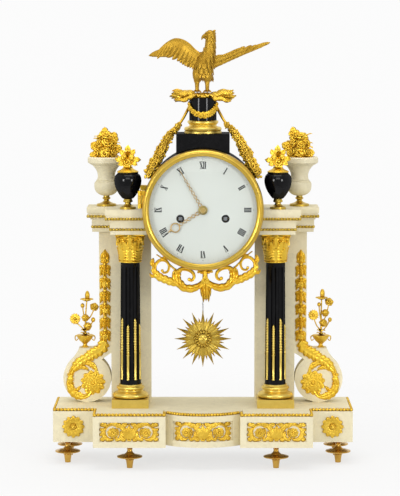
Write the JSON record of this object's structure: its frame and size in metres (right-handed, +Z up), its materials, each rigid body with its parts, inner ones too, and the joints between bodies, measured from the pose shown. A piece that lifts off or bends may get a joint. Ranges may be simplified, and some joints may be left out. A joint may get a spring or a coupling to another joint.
{
  "type": "portico mantel clock",
  "caption": "Portico mantel clock: marble base and columns carry a drum dial with opening bezel, swinging sun pendulum, urns with gilt flowers and a spread eagle.",
  "frame": {"origin": "middle of the footprint on the floor", "axes": "+X to the viewer's right, +Y away from the viewer, +Z up"},
  "size_m": [0.38, 0.13, 0.549],
  "materials": {
    "white_marble": "polished",
    "black_marble": "polished",
    "gilt_bronze": "satin gilt",
    "dark_gilt": "toned gilt",
    "brass": "brushed",
    "steel": "brushed",
    "glass": "clear",
    "enamel": "glossy enamel",
    "bell_metal": "satin"
  },
  "bodies": {
    "case": {"base_block": "white_marble", "base_beading": "gilt_bronze", "frieze_panels": "gilt_bronze", "frieze_center": "gilt_bronze", "base_rosettes": "gilt_bronze", "feet": "dark_gilt", "pilasters": "white_marble", "console_left": "white_marble", "console_right": "white_marble", "console_mounts": "gilt_bronze", "husk_chains": "gilt_bronze", "flower_vases": "gilt_bronze", "columns": "black_marble", "column_bases": "gilt_bronze", "flute_reeds": "gilt_bronze", "capitals": "gilt_bronze", "entablature_left": "white_marble", "entablature_right": "white_marble", "entablature_beading": "gilt_bronze", "white_urns": "white_marble", "black_urns": "black_marble", "white_urn_feet": "dark_gilt", "black_urn_feet": "dark_gilt", "bouquets": "gilt_bronze", "flower_sprays": "gilt_bronze", "drum_case": "black_marble", "crown_block": "black_marble", "pedestal_base": "gilt_bronze", "pedestal_drum": "black_marble", "pedestal_swag": "gilt_bronze", "garlands": "gilt_bronze", "thunderbolt": "gilt_bronze", "eagle": "gilt_bronze", "apron_mount": "gilt_bronze", "hinges": "gilt_bronze", "dial": "enamel", "front_plate": "brass", "back_plate": "brass", "bell": "bell_metal"},
    "bezel_door": {"bezel": "gilt_bronze", "bezel_glass": "glass"},
    "rear_door": {"rear_cover": "brass"},
    "minute_work": {"cannon_pinion": "brass", "minute_hand": "dark_gilt"},
    "hour_work": {"hour_wheel": "brass", "hour_hand": "dark_gilt"},
    "motion_work": {"motion_wheel": "brass"},
    "going_barrel_body": {"going_barrel": "brass"},
    "going_arbor_body": {"going_arbor": "steel"},
    "second_wheel_body": {"second_wheel": "brass"},
    "center_wheel_body": {"center_wheel": "brass"},
    "third_wheel_body": {"third_wheel": "brass"},
    "escape_wheel_body": {"escape_wheel": "brass"},
    "strike_barrel_body": {"strike_barrel": "brass"},
    "strike_arbor_body": {"strike_arbor": "steel"},
    "count_wheel_body": {"count_wheel": "brass"},
    "pallets": {"pallet_anchor": "steel"},
    "pendulum": {"pendulum_rod": "steel", "sunburst": "gilt_bronze"},
    "hammer_body": {"hammer": "steel"}
  },
  "joints": [
    {"name": "bezel_swing", "type": "hinge", "parent": "case", "child": "bezel_door", "pos_m": [-0.079, -0.0469, 0.339], "axis": [0, 0, -1], "range_deg": [0, 110]},
    {"name": "rear_cover_swing", "type": "hinge", "parent": "case", "child": "rear_door", "pos_m": [-0.079, 0.0599, 0.339], "axis": [0, 0, 1], "range_deg": [0, 110]},
    {"name": "minute_turn", "type": "hinge", "parent": "case", "child": "minute_work", "pos_m": [0, 0, 0.326], "axis": [0, 1, 0], "continuous": true},
    {"name": "hour_turn", "type": "hinge", "parent": "case", "child": "hour_work", "pos_m": [0, 0, 0.326], "axis": [0, 1, 0], "continuous": true},
    {"name": "motion_turn", "type": "hinge", "parent": "case", "child": "motion_work", "pos_m": [0, 0, 0.31], "axis": [0, 1, 0], "continuous": true},
    {"name": "third_turn", "type": "hinge", "parent": "case", "child": "third_wheel_body", "pos_m": [0.01821, 0, 0.34194], "axis": [0, 1, 0], "continuous": true},
    {"name": "escape_turn", "type": "hinge", "parent": "case", "child": "escape_wheel_body", "pos_m": [0, 0, 0.352], "axis": [0, 1, 0], "continuous": true},
    {"name": "center_turn", "type": "hinge", "parent": "case", "child": "center_wheel_body", "pos_m": [0, 0, 0.326], "axis": [0, 1, 0], "continuous": true},
    {"name": "second_turn", "type": "hinge", "parent": "case", "child": "second_wheel_body", "pos_m": [0.00496, 0, 0.30129], "axis": [0, 1, 0], "continuous": true},
    {"name": "going_barrel_turn", "type": "hinge", "parent": "case", "child": "going_barrel_body", "pos_m": [0.0281, 0, 0.3152], "axis": [0, 1, 0], "continuous": true},
    {"name": "going_wind", "type": "hinge", "parent": "case", "child": "going_arbor_body", "pos_m": [0.0281, 0, 0.3152], "axis": [0, 1, 0], "range_deg": [0, 1800]},
    {"name": "strike_barrel_turn", "type": "hinge", "parent": "case", "child": "strike_barrel_body", "pos_m": [-0.0281, 0, 0.3152], "axis": [0, 1, 0], "continuous": true},
    {"name": "count_turn", "type": "hinge", "parent": "case", "child": "count_wheel_body", "pos_m": [-0.0281, 0, 0.3422], "axis": [0, 1, 0], "continuous": true},
    {"name": "strike_wind", "type": "hinge", "parent": "case", "child": "strike_arbor_body", "pos_m": [-0.0281, 0, 0.3152], "axis": [0, 1, 0], "range_deg": [0, 1800]},
    {"name": "pendulum_swing", "type": "hinge", "parent": "case", "child": "pendulum", "pos_m": [0, 0.021, 0.37], "axis": [0, 1, 0], "range_deg": [-4, 4]},
    {"name": "pallet_rock", "type": "hinge", "parent": "case", "child": "pallets", "pos_m": [0, 0, 0.37], "axis": [0, 1, 0], "range_deg": [-4, 4]},
    {"name": "hammer_swing", "type": "hinge", "parent": "case", "child": "hammer_body", "pos_m": [-0.033, 0.0235, 0.295], "axis": [0, -1, 0], "range_deg": [-20, 16]}
  ],
  "couplings": [
    {"joint": "motion_turn", "follows": "minute_turn", "ratio": -0.33333},
    {"joint": "hour_turn", "follows": "minute_turn", "ratio": 0.083333},
    {"joint": "escape_turn", "follows": "third_turn", "ratio": -12},
    {"joint": "center_turn", "follows": "third_turn", "ratio": -0.1},
    {"joint": "second_turn", "follows": "third_turn", "ratio": 0.016667},
    {"joint": "going_barrel_turn", "follows": "third_turn", "ratio": -0.0020833},
    {"joint": "count_turn", "follows": "strike_barrel_turn", "ratio": -8},
    {"joint": "pallet_rock", "follows": "pendulum_swing", "ratio": 1}
  ]
}
